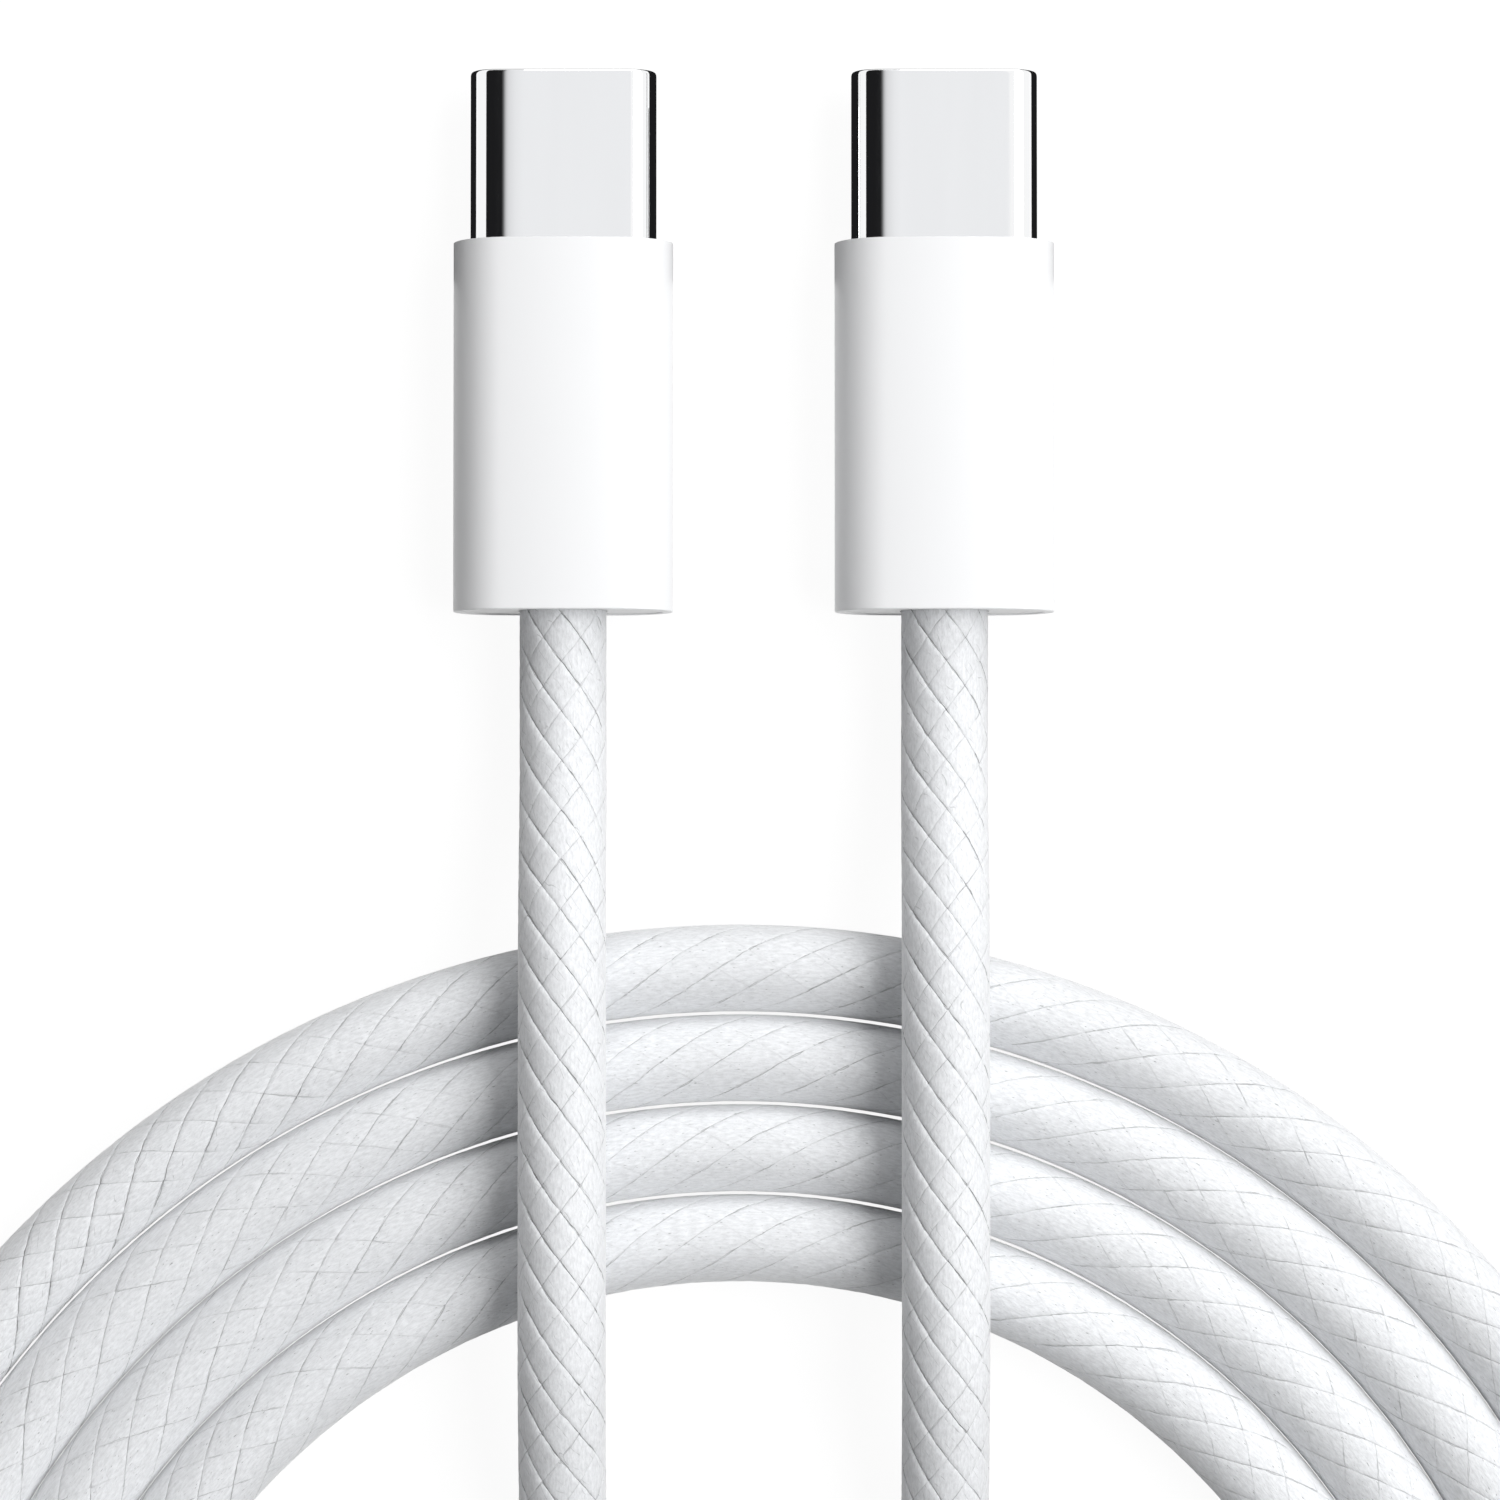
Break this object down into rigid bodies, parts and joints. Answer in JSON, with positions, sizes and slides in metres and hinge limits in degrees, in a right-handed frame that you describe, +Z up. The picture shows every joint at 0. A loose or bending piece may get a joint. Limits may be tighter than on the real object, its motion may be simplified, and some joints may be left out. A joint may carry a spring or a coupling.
{
  "type": "charging cable",
  "caption": "Braided charging cable with a flat plug at each end, its plugs laid side by side and its cord coiled flat behind them.",
  "frame": {"origin": "on the table, midway between the two plugs, half way along them", "axes": "+X from plug a to plug b across the plugs' width, +Y the way the plugs go into a socket, +Z up from the table"},
  "size_m": [0.0859, 0.1182, 0.0079],
  "materials": {
    "polished_steel": "polished",
    "spring_steel": "satin",
    "plated_steel": "satin",
    "gold": "plated",
    "glossy_white": "glossy",
    "white_plastic": "satin",
    "black_plastic": "matte",
    "clear_mould": "matte",
    "circuit_green": "satin",
    "ceramic_brown": "matte",
    "jacket_white": "matte",
    "wire_red": "matte",
    "wire_black": "matte",
    "wire_blue": "matte",
    "wire_green": "matte",
    "wire_white": "matte",
    "braid": "woven"
  },
  "bodies": {
    "cable": {"lead_a": "braid", "coil": "braid", "lead_b": "braid", "plug_a_shell": "polished_steel", "plug_a_boot": "glossy_white", "plug_a_rear_cap": "white_plastic", "plug_a_tongue_housing": "black_plastic", "plug_a_upper_contacts": "gold", "plug_a_lower_contacts": "gold", "plug_a_upper_ground_spring": "spring_steel", "plug_a_lower_ground_spring": "spring_steel", "plug_a_circuit_board": "circuit_green", "plug_a_capacitor": "ceramic_brown", "plug_a_shield_cover": "plated_steel", "plug_a_shield_base": "plated_steel", "plug_a_cable_jacket": "jacket_white", "plug_a_inner_mould": "clear_mould", "plug_a_wire_vbus": "wire_red", "plug_a_wire_ground": "wire_black", "plug_a_wire_cc": "wire_blue", "plug_a_wire_d_plus": "wire_green", "plug_a_wire_d_minus": "wire_white", "plug_b_shell": "polished_steel", "plug_b_boot": "glossy_white", "plug_b_rear_cap": "white_plastic", "plug_b_tongue_housing": "black_plastic", "plug_b_upper_contacts": "gold", "plug_b_lower_contacts": "gold", "plug_b_upper_ground_spring": "spring_steel", "plug_b_lower_ground_spring": "spring_steel", "plug_b_circuit_board": "circuit_green", "plug_b_capacitor": "ceramic_brown", "plug_b_shield_cover": "plated_steel", "plug_b_shield_base": "plated_steel", "plug_b_cable_jacket": "jacket_white", "plug_b_inner_mould": "clear_mould", "plug_b_wire_vbus": "wire_red", "plug_b_wire_ground": "wire_black", "plug_b_wire_cc": "wire_blue", "plug_b_wire_d_plus": "wire_green", "plug_b_wire_d_minus": "wire_white"},
    "plug_a_left_arm": {"plug_a_left_latch": "spring_steel"},
    "plug_a_right_arm": {"plug_a_right_latch": "spring_steel"},
    "plug_b_left_arm": {"plug_b_left_latch": "spring_steel"},
    "plug_b_right_arm": {"plug_b_right_latch": "spring_steel"}
  },
  "joints": [
    {"name": "plug_a_left_latch_flex", "type": "hinge", "parent": "cable", "child": "plug_a_left_arm", "pos_m": [-0.01192, 0.0034, 0.00275], "axis": [0, 0, 1], "range_deg": [0, 1.7], "stiffness_Nm_per_rad": 0.5},
    {"name": "plug_a_right_latch_flex", "type": "hinge", "parent": "cable", "child": "plug_a_right_arm", "pos_m": [-0.00498, 0.0034, 0.00275], "axis": [0, 0, -1], "range_deg": [0, 1.7], "stiffness_Nm_per_rad": 0.5},
    {"name": "plug_b_left_latch_flex", "type": "hinge", "parent": "cable", "child": "plug_b_left_arm", "pos_m": [0.00498, 0.0034, 0.00275], "axis": [0, 0, 1], "range_deg": [0, 1.7], "stiffness_Nm_per_rad": 0.5},
    {"name": "plug_b_right_latch_flex", "type": "hinge", "parent": "cable", "child": "plug_b_right_arm", "pos_m": [0.01192, 0.0034, 0.00275], "axis": [0, 0, -1], "range_deg": [0, 1.7], "stiffness_Nm_per_rad": 0.5}
  ]
}
